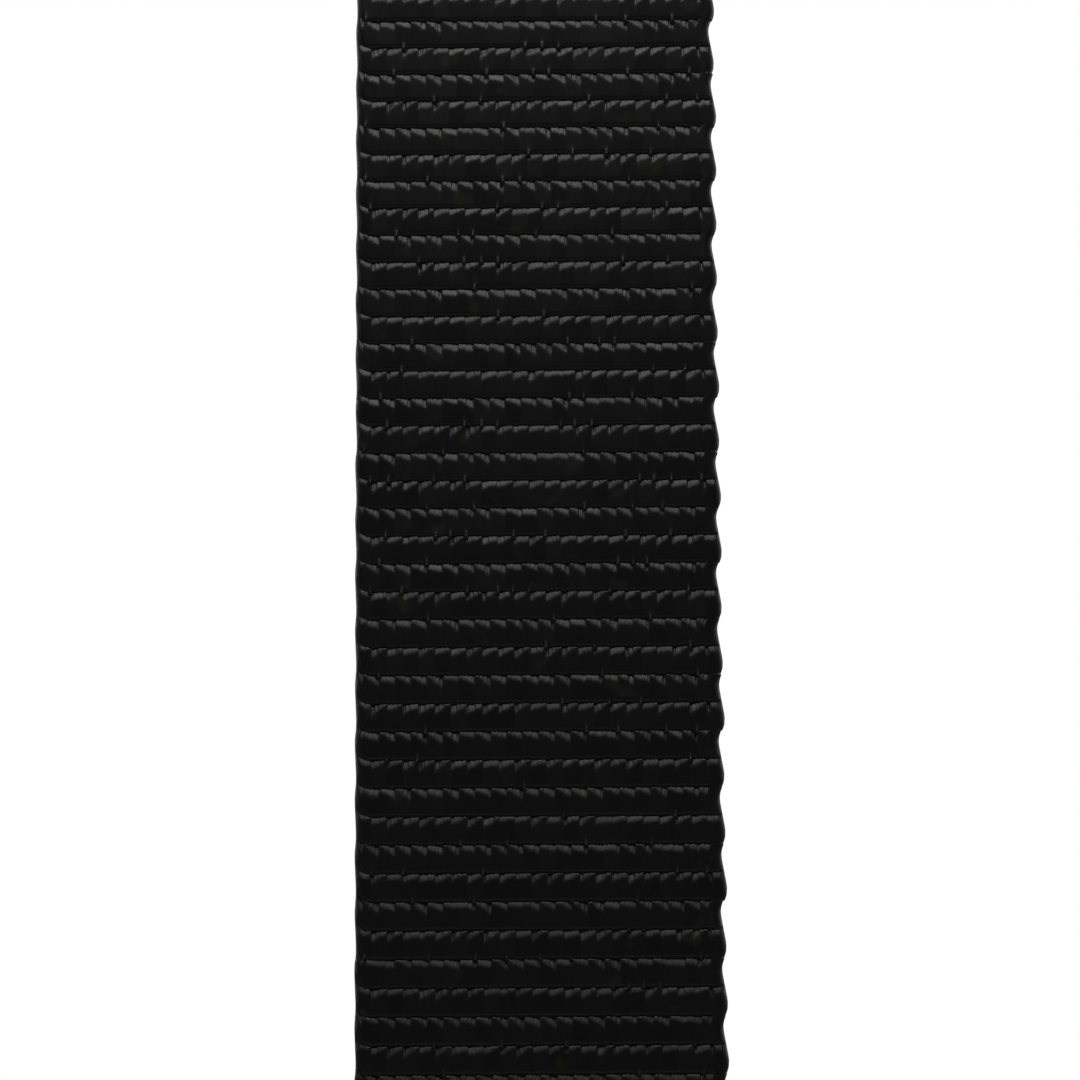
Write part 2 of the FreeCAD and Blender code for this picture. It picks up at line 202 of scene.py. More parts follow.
SHOULDER = 0.34
SHOULDER_START = 0.10
SHOULDER_ROUNDING = 1.25
TOOTH = 0.31
LOWER_SHOULDER = 0.08
GAP_DEPTH = 0.55
GAP_SHARPNESS = 7
CROWN_BOW = 0.05
GROOVE_DEPTH = 0.05
GROOVE_SHARPNESS = 8
LOOSE_CHANCE = 0.20
LOOSE_HALF_WIDTH = 0.12
LOOSE_HEIGHT = 1.60
LOOSE_FALL = 3.4
LOOSE_START = -0.05
LOOSE_WANDER = 0.2
EDGE_BEND = 0.40
EDGE_BAND = 0.0018
EDGE_ROUND = 0.0011
SCALLOP = 0.0007
SCALLOP_SKEW = 0.06
RIGHT_SCALLOP = 0.5
RIGHT_STRAY = 0.35
LEFT_SCALLOP = 0.12
LEFT_STRAY = 0.5
RIB_STEPS_FINE = (
    0.0, 0.04, 0.09, 0.15, 0.24, 0.45, 0.59, 0.65, 0.70, 0.75, 0.80, 0.85, 0.90, 0.95, 0.985,
)
RIB_STEPS = (0.0, 0.08, 0.16, 0.55, 0.70, 0.80, 0.90, 0.98)
END_MARGIN = 0.02
VIEW_LINE_OFFSET = 0.18
VIEW_LINE = (VIEW_Z - PLAIN_END_Z) / RIB_PITCH + VIEW_LINE_OFFSET
WEAVE_PHASE = VIEW_LINE - math.floor(VIEW_LINE)

weave_rng = np.random.default_rng(7)
TABLE = 512
COLUMNS = 32
FIBRES = 1024
FIBRE_PITCH = 0.00018
TOOTH_NOISE = weave_rng.uniform(0.25, 1.45, (TABLE, COLUMNS))
LIFT_NOISE = weave_rng.uniform(-0.04, 0.04, (TABLE, COLUMNS))
SHIFT_NOISE = weave_rng.uniform(-0.050, 0.045, (TABLE, COLUMNS))
LOOSE_NOISE = weave_rng.uniform(0.0, 1.0, (TABLE, COLUMNS))
TONE_NOISE = weave_rng.uniform(0.0, 1.0, (TABLE, COLUMNS))
FIBRE_NOISE = weave_rng.uniform(-0.035, 0.035, (TABLE, FIBRES))
EDGE_NOISE = weave_rng.uniform(-1.0, 1.0, (2, TABLE))


def shoulders(above, below, lean):
    """Height of a float, 0 to 1, by its distance from its upper and its lower end in ribs."""
    climb = np.clip((above + SHOULDER_START + lean) / SHOULDER, 0.0, 1.0)
    drop = np.clip(below / LOWER_SHOULDER, 0.0, 1.0)
    return np.minimum(1 - (1 - climb) ** SHOULDER_ROUNDING, 1 - (1 - drop) ** 2)


def edge_closeness(x):
    """0 inside the selvedge bands, rising to 1 at the webbing's edge."""
    return np.clip((np.abs(x) - (WEB_WIDTH / 2 - EDGE_BAND)) / EDGE_BAND, 0.0, 1.0)


def loose_filaments(t, x, face):
    """Height of the few filaments that cross a valley, from one float to the rib above it."""
    line = np.round(t).astype(int)
    a = t - line
    u = (x + WEB_WIDTH / 2) / FLOAT_PITCH + 0.5 * ((line + face) % 2)
    column = np.floor(u).astype(int)
    chance = LOOSE_NOISE[line % TABLE, column % COLUMNS]
    b = u - column - 0.5 + LOOSE_WANDER * (chance / LOOSE_CHANCE - 0.5)
    near = np.clip(2 * (1 - np.abs(b) / LOOSE_HALF_WIDTH), 0.0, 1.0)
    here = (chance < LOOSE_CHANCE) & (a > LOOSE_START)
    return np.where(here, near * (LOOSE_HEIGHT - LOOSE_FALL * a), 0.0)


def weave_height(t, x, face):
    """Height of the webbing's face above its middle; t counts ribs and x runs across."""
    close = edge_closeness(x)
    t = np.where(x < 0, t - EDGE_BEND * close**1.5, t)
    row = np.floor(t).astype(int)
    a = t - row
    parity = (row + face) % 2
    side = np.where(parity == 0, 1.0, -1.0)
    u = (x + WEB_WIDTH / 2) / FLOAT_PITCH + 0.5 * parity
    column = np.floor(u).astype(int)
    b = u - column - 0.5
    pick = (row % TABLE, column % COLUMNS)
    fibre = (row % TABLE, np.floor((x + WEB_WIDTH) / FIBRE_PITCH).astype(int) % FIBRES)
    lean = side * TOOTH * TOOTH_NOISE[pick] * b + SHIFT_NOISE[pick] + FIBRE_NOISE[fibre]
    groove = 1 - GROOVE_DEPTH * np.abs(2 * b) ** GROOVE_SHARPNESS
    crown = (1 - CROWN_BOW * (2 * a - 1) ** 2) * groove * (1 + LIFT_NOISE[pick])
    float_body = shoulders(1 - a, a, lean)
    gap = 1 - GAP_DEPTH * np.abs(2 * b) ** GAP_SHARPNESS * (1 - float_body)
    body = np.maximum(float_body * gap * crown, loose_filaments(t, x, face))
    long_a = (t + face - 1) % 2
    long_body = shoulders(2 - long_a, long_a, FIBRE_NOISE[fibre])
    body = np.where((close > 0) & (x > 0), long_body, body)
    height = WEB_VALLEY / 2 + (WEB_THICKNESS - WEB_VALLEY) / 2 * body
    rim = np.clip((np.abs(x) - (WEB_WIDTH / 2 - EDGE_ROUND)) / EDGE_ROUND, 0.0, 1.0)
    return height * np.sqrt(np.maximum(0.0, 1 - rim**2))


def float_tone(t, x, face):
    """A number from 0 to 1 for each float, for how dull its yarn is."""
    row = np.floor(t).astype(int)
    parity = (row + face) % 2
    column = np.floor((x + WEB_WIDTH / 2) / FLOAT_PITCH + 0.5 * parity).astype(int)
    return TONE_NOISE[row % TABLE, column % COLUMNS]


def edge_shift(t, x):
    """How far the selvedges stray sideways: scalloped at +X and nearly straight at -X."""
    long_t = t / 2
    phase = long_t - np.floor(long_t)
    wave = np.sin(2 * np.pi * (phase + SCALLOP_SKEW * np.sin(2 * np.pi * phase)))
    row = np.floor(long_t).astype(int) % TABLE
    close = np.clip((np.abs(x) - (WEB_WIDTH / 2 - 2 * EDGE_BAND)) / EDGE_BAND, 0.0, 1.0)
    right = RIGHT_SCALLOP * SCALLOP * (wave + RIGHT_STRAY * EDGE_NOISE[0][row])
    left = LEFT_SCALLOP * SCALLOP * (wave + LEFT_STRAY * EDGE_NOISE[1][row])
    return close * np.where(x > 0, right, left)


def across_samples(per_float):
    """Places across one face, from edge to edge, that never lie on a gap between floats."""
    count = FLOATS_ACROSS * per_float
    inner = (np.arange(count) + 0.5) / count * WEB_WIDTH - WEB_WIDTH / 2
    return np.concatenate(([-WEB_WIDTH / 2], inner, [WEB_WIDTH / 2]))


def snap(distance):
    """The nearest valley between ribs, as a distance along the webbing."""
    return (round(distance / RIB_PITCH - WEAVE_PHASE) + WEAVE_PHASE) * RIB_PITCH


def webbing_mesh(name, path, start, end, per_front=4, per_back=4, steps=RIB_STEPS):
    """A closed woven band that follows a path between two distances."""
    t0 = start / RIB_PITCH - WEAVE_PHASE
    t1 = end / RIB_PITCH - WEAVE_PHASE
    lattice = (np.arange(math.floor(t0), math.ceil(t1) + 1)[:, None] + np.array(steps)).ravel()
    inside = lattice[(lattice > t0 + END_MARGIN) & (lattice < t1 - END_MARGIN)]
    t = np.concatenate(([t0], inside, [t1]))
    front = across_samples(per_front)
    back = across_samples(per_back)[-2:0:-1]
    x = np.concatenate((front, back))
    side = np.concatenate((np.ones(len(front)), -np.ones(len(back))))
    grid_t, grid_x = np.meshgrid(t, x, indexing="ij")
    grid_side = np.broadcast_to(side, grid_t.shape)
    face = (grid_side < 0).astype(int)
    height = weave_height(grid_t, grid_x, face) * grid_side
    (y, z), (ny, nz) = path.at(np.clip((t + WEAVE_PHASE) * RIB_PITCH, 0.0, path.length))
    verts = np.stack(
        (
            grid_x + edge_shift(grid_t, grid_x),
            y[:, None] + ny[:, None] * height,
            z[:, None] + nz[:, None] * height,
        ),
        axis=-1,
    )
    rows, loop = grid_t.shape
    index = np.arange(rows * loop).reshape(rows, loop)
    following = np.roll(index, -1, axis=1)
    quads = np.stack((index[:-1], following[:-1], following[1:], index[1:]), axis=-1)
    mesh = bpy.data.meshes.new(name)
    caps = [index[0][::-1].tolist(), index[-1].tolist()]
    mesh.from_pydata(verts.reshape(-1, 3).tolist(), [], quads.reshape(-1, 4).tolist() + caps)
    weave = np.stack((grid_x, grid_t * RIB_PITCH, grid_side * WEB_THICKNESS), axis=-1)
    attribute = mesh.attributes.new("weave", "FLOAT_VECTOR", "POINT")
    attribute.data.foreach_set("vector", weave.reshape(-1).astype(np.float32))
    tone = mesh.attributes.new("tone", "FLOAT", "POINT")
    tone.data.foreach_set("value", float_tone(grid_t, grid_x, face).reshape(-1).astype(np.float32))
    mesh.validate()
    obj = bpy.data.objects.new(name, mesh)
    bpy.context.scene.collection.objects.link(obj)
    return obj


# ---------------------------------------------------------------- materials


def new_material(name):
    material = bpy.data.materials.new(name)
    material.use_nodes = True
    nodes = material.node_tree.nodes
    return material, nodes, material.node_tree.links, nodes["Principled BSDF"]


def webbing_material():
    """Black filament yarn: dull crowns, a dry gleam on slopes, and a few olive-tinted floats."""
    material, nodes, links, shader = new_material("webbing")
    weave = nodes.new("ShaderNodeAttribute")
    weave.attribute_name = "weave"
    stretch = nodes.new("ShaderNodeMapping")
    stretch.inputs["Scale"].default_value = (3200.0, 420.0, 1.0)
    links.new(weave.outputs["Vector"], stretch.inputs["Vector"])
    fibre = nodes.new("ShaderNodeTexNoise")
    fibre.inputs["Scale"].default_value = 1.0
    fibre.inputs["Detail"].default_value = 2.0
    links.new(stretch.outputs["Vector"], fibre.inputs["Vector"])
    bump = nodes.new("ShaderNodeBump")
    bump.inputs["Strength"].default_value = 0.35
    bump.inputs["Distance"].default_value = 0.00012
    links.new(fibre.outputs["Fac"], bump.inputs["Height"])
    links.new(bump.outputs["Normal"], shader.inputs["Normal"])
    patch = nodes.new("ShaderNodeTexNoise")
    patch.inputs["Scale"].default_value = 260.0
    patch.inputs["Detail"].default_value = 1.0
    links.new(weave.outputs["Vector"], patch.inputs["Vector"])
    tint = nodes.new("ShaderNodeValToRGB")
    tint.color_ramp.elements[0].position = 0.66
    tint.color_ramp.elements[0].color = (0.0050, 0.0050, 0.0054, 1.0)
    tint.color_ramp.elements[1].position = 0.74
    tint.color_ramp.elements[1].color = (0.0150, 0.0150, 0.0080, 1.0)
    links.new(patch.outputs["Fac"], tint.inputs["Fac"])
    links.new(tint.outputs["Color"], shader.inputs["Base Color"])
    tone = nodes.new("ShaderNodeAttribute")
    tone.attribute_name = "tone"
    dullness = nodes.new("ShaderNodeMapRange")
    dullness.inputs["To Min"].default_value = 0.38
    dullness.inputs["To Max"].default_value = 0.45
    links.new(tone.outputs["Fac"], dullness.inputs["Value"])
    links.new(dullness.outputs["Result"], shader.inputs["Roughness"])
    return material


def leather_material():
    """Black pebbled leather with a satin finish."""
    material, nodes, links, shader = new_material("leather")
    place = nodes.new("ShaderNodeTexCoord")
    grain = nodes.new("ShaderNodeTexVoronoi")
    grain.feature = "SMOOTH_F1"
    grain.inputs["Scale"].default_value = 900.0
    links.new(place.outputs["Object"], grain.inputs["Vector"])
    wrinkle = nodes.new("ShaderNodeTexNoise")
    wrinkle.inputs["Scale"].default_value = 160.0
    wrinkle.inputs["Detail"].default_value = 6.0
    links.new(place.outputs["Object"], wrinkle.inputs["Vector"])
    mix = nodes.new("ShaderNodeMath")
    mix.operation = "MULTIPLY_ADD"
    mix.inputs[1].default_value = 0.6
    links.new(wrinkle.outputs["Fac"], mix.inputs[0])
    links.new(grain.outputs["Distance"], mix.inputs[2])
    bump = nodes.new("ShaderNodeBump")
    bump.inputs["Strength"].default_value = 0.5
    bump.inputs["Distance"].default_value = 0.0003
    links.new(mix.outputs["Value"], bump.inputs["Height"])
    links.new(bump.outputs["Normal"], shader.inputs["Normal"])
    tone = nodes.new("ShaderNodeValToRGB")
    tone.color_ramp.elements[0].color = (0.006, 0.0055, 0.0055, 1.0)
    tone.color_ramp.elements[1].color = (0.016, 0.0145, 0.014, 1.0)
    links.new(wrinkle.outputs["Fac"], tone.inputs["Fac"])
    links.new(tone.outputs["Color"], shader.inputs["Base Color"])
    shader.inputs["Roughness"].default_value = 0.42
    return material


def moulded_material():
    """Black moulded plastic with a fine spark-eroded texture."""
    material, nodes, links, shader = new_material("moulded")
    place = nodes.new("ShaderNodeTexCoord")
    grit = nodes.new("ShaderNodeTexNoise")
    grit.inputs["Scale"].default_value = 2500.0
    grit.inputs["Detail"].default_value = 2.0
    links.new(place.outputs["Object"], grit.inputs["Vector"])
    bump = nodes.new("ShaderNodeBump")
    bump.inputs["Strength"].default_value = 0.2
    bump.inputs["Distance"].default_value = 0.0001
    links.new(grit.outputs["Fac"], bump.inputs["Height"])
    links.new(bump.outputs["Normal"], shader.inputs["Normal"])
    gloss = nodes.new("ShaderNodeMapRange")
    gloss.inputs["To Min"].default_value = 0.30
    gloss.inputs["To Max"].default_value = 0.42
    links.new(grit.outputs["Fac"], gloss.inputs["Value"])
    links.new(gloss.outputs["Result"], shader.inputs["Roughness"])
    shader.inputs["Base Color"].default_value = (0.010, 0.010, 0.011, 1.0)
    return material


def thread_material():
    """Waxed black thread, twisted along each stitch."""
    material, nodes, links, shader = new_material("thread")
    place = nodes.new("ShaderNodeTexCoord")
    twist = nodes.new("ShaderNodeTexWave")
    twist.bands_direction = "DIAGONAL"
    twist.inputs["Scale"].default_value = 700.0
    links.new(place.outputs["Object"], twist.inputs["Vector"])
    bump = nodes.new("ShaderNodeBump")
    bump.inputs["Strength"].default_value = 0.5
    bump.inputs["Distance"].default_value = 0.0002
    links.new(twist.outputs["Fac"], bump.inputs["Height"])
    links.new(bump.outputs["Normal"], shader.inputs["Normal"])
    shader.inputs["Base Color"].default_value = (0.030, 0.030, 0.032, 1.0)
    shader.inputs["Roughness"].default_value = 0.45
    return material


def put_on(obj, material):
    """The material takes every slot of the object."""
    if not obj.material_slots:
        obj.data.materials.append(material)
    for slot in obj.material_slots:
        slot.material = material


def finish_cad_nodes(materials):
    """Every CAD node takes the material of its slot in the record."""
    slots = {part["node"]: part["material_slot"] for part in frame["record"]["subparts"]}
    for name, obj in frame["nodes"].items():
        put_on(obj, materials[slots[name]])


# ---------------------------------------------------------------- webbing pieces


def main_path():
    """The whole main webbing, from its sewn end in the plain tab to its end on the slider."""
    bar_end = SLIDER_BAR_HEIGHT / 2 - SLIDER_BAR_THICKNESS / 2
    step_top = SLIDER_Z - SLIDER_BAR_HEIGHT / 2
    step_bottom = step_top - LOOP_STEP_LENGTH
    near_y, far_y = MIDDLE_BAR_Y - LOOP_RADIUS, MIDDLE_BAR_Y + LOOP_RADIUS
    path = Path(-LEG_Y, PLAIN_END_Z, 90).run(PLAIN_LEG).turn(LEG_Y, -180).run(ADJUST_LEG)
    path.turn(TURN_RADIUS, -180).run(step_bottom - RING_Z)
    path.step(RETURN_Y - near_y, LOOP_STEP_LENGTH).run(SLIDER_Z + bar_end - step_top)
    path.turn(LOOP_RADIUS, -180).run(SLIDER_Z + bar_end - step_top)
    return path.step(FLAP_Y - far_y, LOOP_STEP_LENGTH).run(step_bottom - FLAP_END_Z)


def keeper_path():
    """The short loop through the ring, with both ends in the adjusting tab."""
    ring_y = LEG_Y - TURN_RADIUS
    ply_y = (WEB_THICKNESS + PLY_GAP) / 2
    bottom = LOWER_BAR_Z - KEEPER_LENGTH - TAB_OVERLAP
    sewn = LOWER_BAR_Z - TURN_RADIUS - TAB_STEP_LENGTH - bottom
    path = Path(ring_y - ply_y, bottom, 90).run(sewn).step(TURN_RADIUS - ply_y, TAB_STEP_LENGTH)
    path.run(TURN_RADIUS).turn(TURN_RADIUS, -180).run(TURN_RADIUS)
    return path.step(ply_y - TURN_RADIUS, TAB_STEP_LENGTH).run(sewn)


def web_piece(name, path, start, end, material, nodes, **detail):
    """One piece of webbing that stands for its CAD nodes, which it hides."""
    obj = webbing_mesh(name, path, start, end, **detail)
    obj.data.shade_smooth()
    put_on(obj, material)
    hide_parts(*nodes)
    return obj


def build_webbing(material):
    """The main webbing, cut in valleys between ribs where it changes body, and the keeper."""
    path = main_path()
    rear_start = PLAIN_LEG + math.pi * LEG_Y
    ring_start = rear_start + ADJUST_LEG
    return_start = ring_start + math.pi * TURN_RADIUS
    plain_cut = snap(PLAIN_CUT_Z - PLAIN_END_Z)
    leg_cut = snap(LEG_CUT_Z - PLAIN_END_Z)
    top = snap(PLAIN_LEG + math.pi * LEG_Y / 2)
    rear_cut = snap(rear_start + SHOULDER_Z - LEG_CUT_Z)
    turn_cut = snap(ring_start - TURN_TAIL)
    return_cut = snap(return_start + TURN_TAIL)
    loop_cut = snap(return_start + LOOP_TAIL_Z - RING_Z)

    low = web_piece(
        "webbing_plain_end", path, 0.0, plain_cut, material, ["plain_webbing_end", "plain_webbing"]
    )
    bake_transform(low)

    plain = web_piece(
        "webbing_plain_leg", path, plain_cut, leg_cut, material, ["plain_webbing"],
        per_front=12, per_back=3, steps=RIB_STEPS_FINE,
    )
    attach(plain, "plain_leg")

    front = web_piece(
        "webbing_shoulder_front", path, leg_cut, top, material, ["shoulder_webbing"]
    )
    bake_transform(front)

    rear = web_piece("webbing_shoulder_rear", path, top, rear_cut, material, ["shoulder_webbing"])
    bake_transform(rear)

    run = web_piece(
        "webbing_adjusting_run", path, rear_cut, turn_cut, material, ["adjust_webbing"]
    )
    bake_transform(run)

    turn = web_piece("webbing_ring_turn", path, turn_cut, return_cut, material, ["turn_webbing"])
    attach(turn, "ring_turn")

    back = web_piece(
        "webbing_return_run", path, return_cut, loop_cut, material, ["return_webbing"]
    )
    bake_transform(back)

    loop = web_piece(
        "webbing_slider_loop", path, loop_cut, path.length, material, ["end_loop_webbing"]
    )
    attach(loop, "slider")

    keeper = keeper_path()
    short = web_piece(
        "webbing_keeper", keeper, 0.0, keeper.length, material, ["keeper_webbing"]
    )
    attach(short, "adjusting_tab")


# ---------------------------------------------------------------- leather tabs


def arc_points(centre, radius, start, sweep, spacing):
    count = max(3, math.ceil(abs(sweep) * radius / spacing))
    angles = start + sweep * np.arange(count + 1) / count
    x = centre[0] + radius * np.cos(angles)
    z = centre[1] + radius * np.sin(angles)
    return np.stack((x, z), axis=-1)


def closed_line(parts, spacing):
    """Evenly spaced points round a closed line given as arcs joined by straight runs."""
    points = []
    for part, following in zip(parts, parts[1:] + parts[:1]):
        points.extend(part.tolist())
        a, b = part[-1], following[0]
        count = math.floor(np.linalg.norm(b - a) / spacing)
        points.extend((a + (b - a) * n / (count + 1)).tolist() for n in range(1, count + 1))
    return np.array(points)


def tab_line(inset, spacing=GRAIN_SPACING):
    """The tab's outline, or a line inside it. Local: x across, z up, 0 at the webbing's end."""
    half = TAB_WIDTH / 2 - inset
    tip_radius = TAB_TIP_RADIUS - inset
    corner = max(TAB_CORNER - inset, SMALLEST_CORNER)
    tip_z = TAB_TIP_RADIUS - TAB_REACH
    top = TAB_OVERLAP - inset
    tangent = math.atan2(-tip_z, half) - math.acos(tip_radius / math.hypot(half, tip_z))
    parts = [
        arc_points((half - corner, top - corner), corner, 0.0, math.pi / 2, spacing),
        arc_points((corner - half, top - corner), corner, math.pi / 2, math.pi / 2, spacing),
        np.array([[-half, 0.0]]),
        arc_points((0.0, tip_z), tip_radius, math.pi - tangent, math.pi + 2 * tangent, spacing),
        np.array([[half, 0.0]]),
    ]
    return closed_line(parts, spacing)


def keyhole_line(growth, spacing=GRAIN_SPACING / 2):
    """The outline of the button hole and its slit, or a line outside it."""
    radius, end_radius = KEYHOLE_RADIUS + growth, SLIT_END_RADIUS + growth
    half = SLIT_HALF_WIDTH + growth
    hole_z = TAB_TIP_RADIUS - TAB_REACH
    slit_z = hole_z + KEYHOLE_RADIUS + SLIT_LENGTH
    opening = math.asin(half / radius)
    end_opening = math.asin(min(1.0, half / end_radius))
    quarter = math.pi / 2
    hole = arc_points((0.0, hole_z), radius, quarter + opening, 2 * math.pi - 2 * opening, spacing)
    end = arc_points(
        (0.0, slit_z), end_radius, end_opening - quarter, 2 * (math.pi - end_opening), spacing
    )
    return closed_line([hole, end], spacing)


def distance_to(points, line, closed=True):
    """Distance from each point to a line through the given places."""
    a = line if closed else line[:-1]
    b = np.roll(line, -1, axis=0) if closed else line[1:]
    run = b - a
    away = points[:, None, :] - a[None]
    share = np.clip((away * run).sum(-1) / np.maximum((run * run).sum(-1), 1e-16), 0.0, 1.0)
    return np.linalg.norm(away - share[..., None] * run, axis=-1).min(axis=1)


def inside(points, line):
    """Whether each point is inside a closed line."""
    x0, z0 = line[:, 0], line[:, 1]
    x1, z1 = np.roll(x0, -1), np.roll(z0, -1)
    x, z = points[:, :1], points[:, 1:]
    crosses = (z0 > z) != (z1 > z)
    at = x0 + (z - z0) * (x1 - x0) / np.where(z1 == z0, 1e-12, z1 - z0)
    return (crosses & (x < at)).sum(axis=1) % 2 == 1


def box_lines():
    """The sewn box and its diagonals, as open lines."""
    half = WEB_WIDTH / 2 - BOX_INSET
    top, low = TAB_OVERLAP - EDGE_INSET - BOX_MARGIN, BOX_MARGIN
    box = [(-half, top), (half, top), (half, low), (-half, low), (-half, top)]
    lines = [box, [(-half, top), (half, low)], [(half, top), (-half, low)]]
    return [np.array(line) for line in lines]


def leather_pattern():
    """One panel as flat points, triangles, its two rims, and how far each point stands proud."""
    rings = [tab_line(inset) for inset in ROUNDING_STEPS]
    channel = [tab_line(EDGE_INSET + side * CHANNEL_WIDTH) for side in (-1, 0, 1)]
    holes = [keyhole_line(growth) for growth in ROUNDING_STEPS]
    outline, hole = rings[0], holes[0]
    x, z = np.meshgrid(
        np.arange(-TAB_WIDTH / 2, TAB_WIDTH / 2, GRAIN_SPACING),
        np.arange(-TAB_REACH, TAB_OVERLAP, GRAIN_SPACING * math.sqrt(3) / 2),
    )
    x[1::2] += GRAIN_SPACING / 2
    field = np.stack((x.ravel(), z.ravel()), axis=-1)
    keep = inside(field, tab_line(FIELD_INSET)) & ~inside(field, keyhole_line(FIELD_INSET))
    sewn = np.abs(distance_to(field, outline) - EDGE_INSET) < CHANNEL_WIDTH * 1.5
    field = field[keep & ~sewn]
    points = np.concatenate(rings + channel + holes + [field])
    edges = []
    start = 0
    for line in rings + channel + holes:
        count = len(line)
        edges.extend((start + n, start + (n + 1) % count) for n in range(count))
        start += count
    coords = [Vector(point) for point in points.tolist()]
    out, _, triangles, _, _, _ = delaunay_2d_cdt(coords, edges, [], 0, 1e-7)
    flat = np.array([tuple(v) for v in out])
    triangles = np.array([t for t in triangles if len(t) == 3])
    middle = flat[triangles].mean(axis=1)
    triangles = triangles[inside(middle, outline) & ~inside(middle, hole)]
    rim = np.minimum(distance_to(flat, outline), distance_to(flat, hole))
    short = np.clip(EDGE_ROUNDING - rim, 0.0, None)
    proud = LEATHER / 2 - EDGE_ROUNDING + np.sqrt(np.maximum(0.0, EDGE_ROUNDING**2 - short**2))
    seam = distance_to(flat, channel[1])
    for line in box_lines():
        seam = np.minimum(seam, distance_to(flat, line, closed=False))
    proud = proud - CHANNEL_DEPTH * np.exp(-((seam / CHANNEL_WIDTH) ** 2))
    puff = PUFF * (1 - np.exp(-np.minimum(seam, rim) / PUFF_REACH)) * (rim > EDGE_ROUNDING)
    return flat, triangles, proud + puff


def panel_middle(z, core):
    """A panel's middle, measured from the tab's, and its lean, by height over the webbing's end."""
    drop = np.clip(-z, 0.0, TAB_STEP_LENGTH)
    shift = core / 2
    angle = 2 * math.atan(shift / TAB_STEP_LENGTH)
    radius = TAB_STEP_LENGTH / (2 * math.sin(angle))
    near = np.minimum(drop, TAB_STEP_LENGTH - drop)
    bow = radius - np.sqrt(radius**2 - near**2)
    moved = np.where(drop < TAB_STEP_LENGTH / 2, bow, shift - bow)
    return (core + LEATHER) / 2 - moved, np.arcsin(near / radius)


def leather_panel(name, pattern, place, core, side, node, body, material):
    """A panel that lies on one side of a tab, with rolled edges and pressed sewing channels."""
    flat, triangles, proud = pattern
    y_middle, z_end = place
    middle, lean = panel_middle(flat[:, 1], core)
    outer = middle + proud / np.cos(lean)
    inner = middle - LEATHER / 2 / np.cos(lean)
    count = len(flat)
    verts = []
    for depth in (outer, inner):
        verts.extend(zip(flat[:, 0], y_middle + side * depth, z_end + flat[:, 1]))
    outward = triangles if side < 0 else triangles[:, ::-1]
    faces = outward.tolist() + (outward[:, ::-1] + count).tolist()
    corners = outward.tolist()
    sides = dict.fromkeys(edge for a, b, c in corners for edge in ((a, b), (b, c), (c, a)))
    faces += [(b, a, a + count, b + count) for a, b in sides if (b, a) not in sides]
    mesh = bpy.data.meshes.new(name)
    mesh.from_pydata(verts, [], faces)
    used = bmesh.new()
    used.from_mesh(mesh)
    bmesh.ops.delete(used, geom=[v for v in used.verts if not v.link_faces], context="VERTS")
    bmesh.ops.recalc_face_normals(used, faces=used.faces)
    used.to_mesh(mesh)
    used.free()
    obj = bpy.data.objects.new(name, mesh)
    bpy.context.scene.collection.objects.link(obj)
    obj.data.shade_smooth()
    put_on(obj, material)
    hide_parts(node)
    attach(obj, body)


# ---------------------------------------------------------------- thread


def stitch_frames(node, length):
    """Where each of a node's straight stitches lies: its middle, direction and outward side."""
    work = bmesh.new()
    work.from_mesh(frame["nodes"][node].data)
    bmesh.ops.remove_doubles(work, verts=work.verts, dist=1e-6)
    seen = set()
    frames = []
    for first in work.verts:
        if first in seen:
            continue
        island, waiting = [], [first]
        seen.add(first)
        while waiting:
            vert = waiting.pop()
            island.append(vert)
            for edge in vert.link_edges:
                other = edge.other_vert(vert)
                if other not in seen:
                    seen.add(other)
                    waiting.append(other)
        middle = sum((v.co for v in island), Vector()) / len(island)
        axes = {}
        for edge in {e for v in island for e in v.link_edges}:
            for key, size in (("along", length), ("out", STITCH_HEIGHT)):
                if abs(edge.calc_length() - size) < SIZE_TOLERANCE * size:
                    axes[key] = (edge.verts[1].co - edge.verts[0].co).normalized()
        frames.append((middle, axes["along"], axes["out"]))
    work.free()
    return frames


def thread_piece(name, node, body, middle_y, length, material):
    """Two-ply stitches that rise out of the leather and dive back into it."""
    rings, around = 9, 10
    t = np.linspace(0.0, 1.0, rings)
    angle = 2 * np.pi * np.arange(around) / around
    twist = angle[None, :] - THREAD_TURNS * 2 * np.pi * t[:, None]
    lobes = THREAD_RADIUS * (THREAD_NECK + (1 - THREAD_NECK) * np.abs(np.cos(twist)))
    taper = np.sqrt(np.clip(1 - np.abs(2 * t - 1) ** 6, THREAD_TAPER_END, 1.0))[:, None]
    along = np.broadcast_to(((t - 0.5) * length * THREAD_OVERRUN)[:, None], lobes.shape)
    dive = THREAD_DIVE * np.abs(2 * t - 1)[:, None] ** 4
    rise = STITCH_HEIGHT * (THREAD_PROUD - dive)
    out = rise + lobes * taper * np.sin(angle)
    across = lobes * taper * np.cos(angle)
    verts, faces = [], []
    for middle, direction, outward in stitch_frames(node, length):
        if outward.y * (middle.y - middle_y) < 0:
            outward = -outward
        sideways = direction.cross(outward)
        base = middle - outward * STITCH_HEIGHT / 2
        start = len(verts)
        for ring in range(rings):
            for n in range(around):
                offset = outward * out[ring, n] + sideways * across[ring, n]
                verts.append(base + direction * along[ring, n] + offset)
        for ring in range(rings - 1):
            for n in range(around):
                a, b = start + ring * around + n, start + ring * around + (n + 1) % around
                faces.append((a, a + around, b + around, b))
        last = start + (rings - 1) * around
        faces.append(tuple(range(start, start + around)))
        faces.append(tuple(range(last + around - 1, last - 1, -1)))
    mesh = bpy.data.meshes.new(name)
    mesh.from_pydata(verts, [], faces)
    obj = bpy.data.objects.new(name, mesh)
    bpy.context.scene.collection.objects.link(obj)
    obj.data.shade_smooth()
    put_on(obj, material)
    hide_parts(node)
    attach(obj, body)


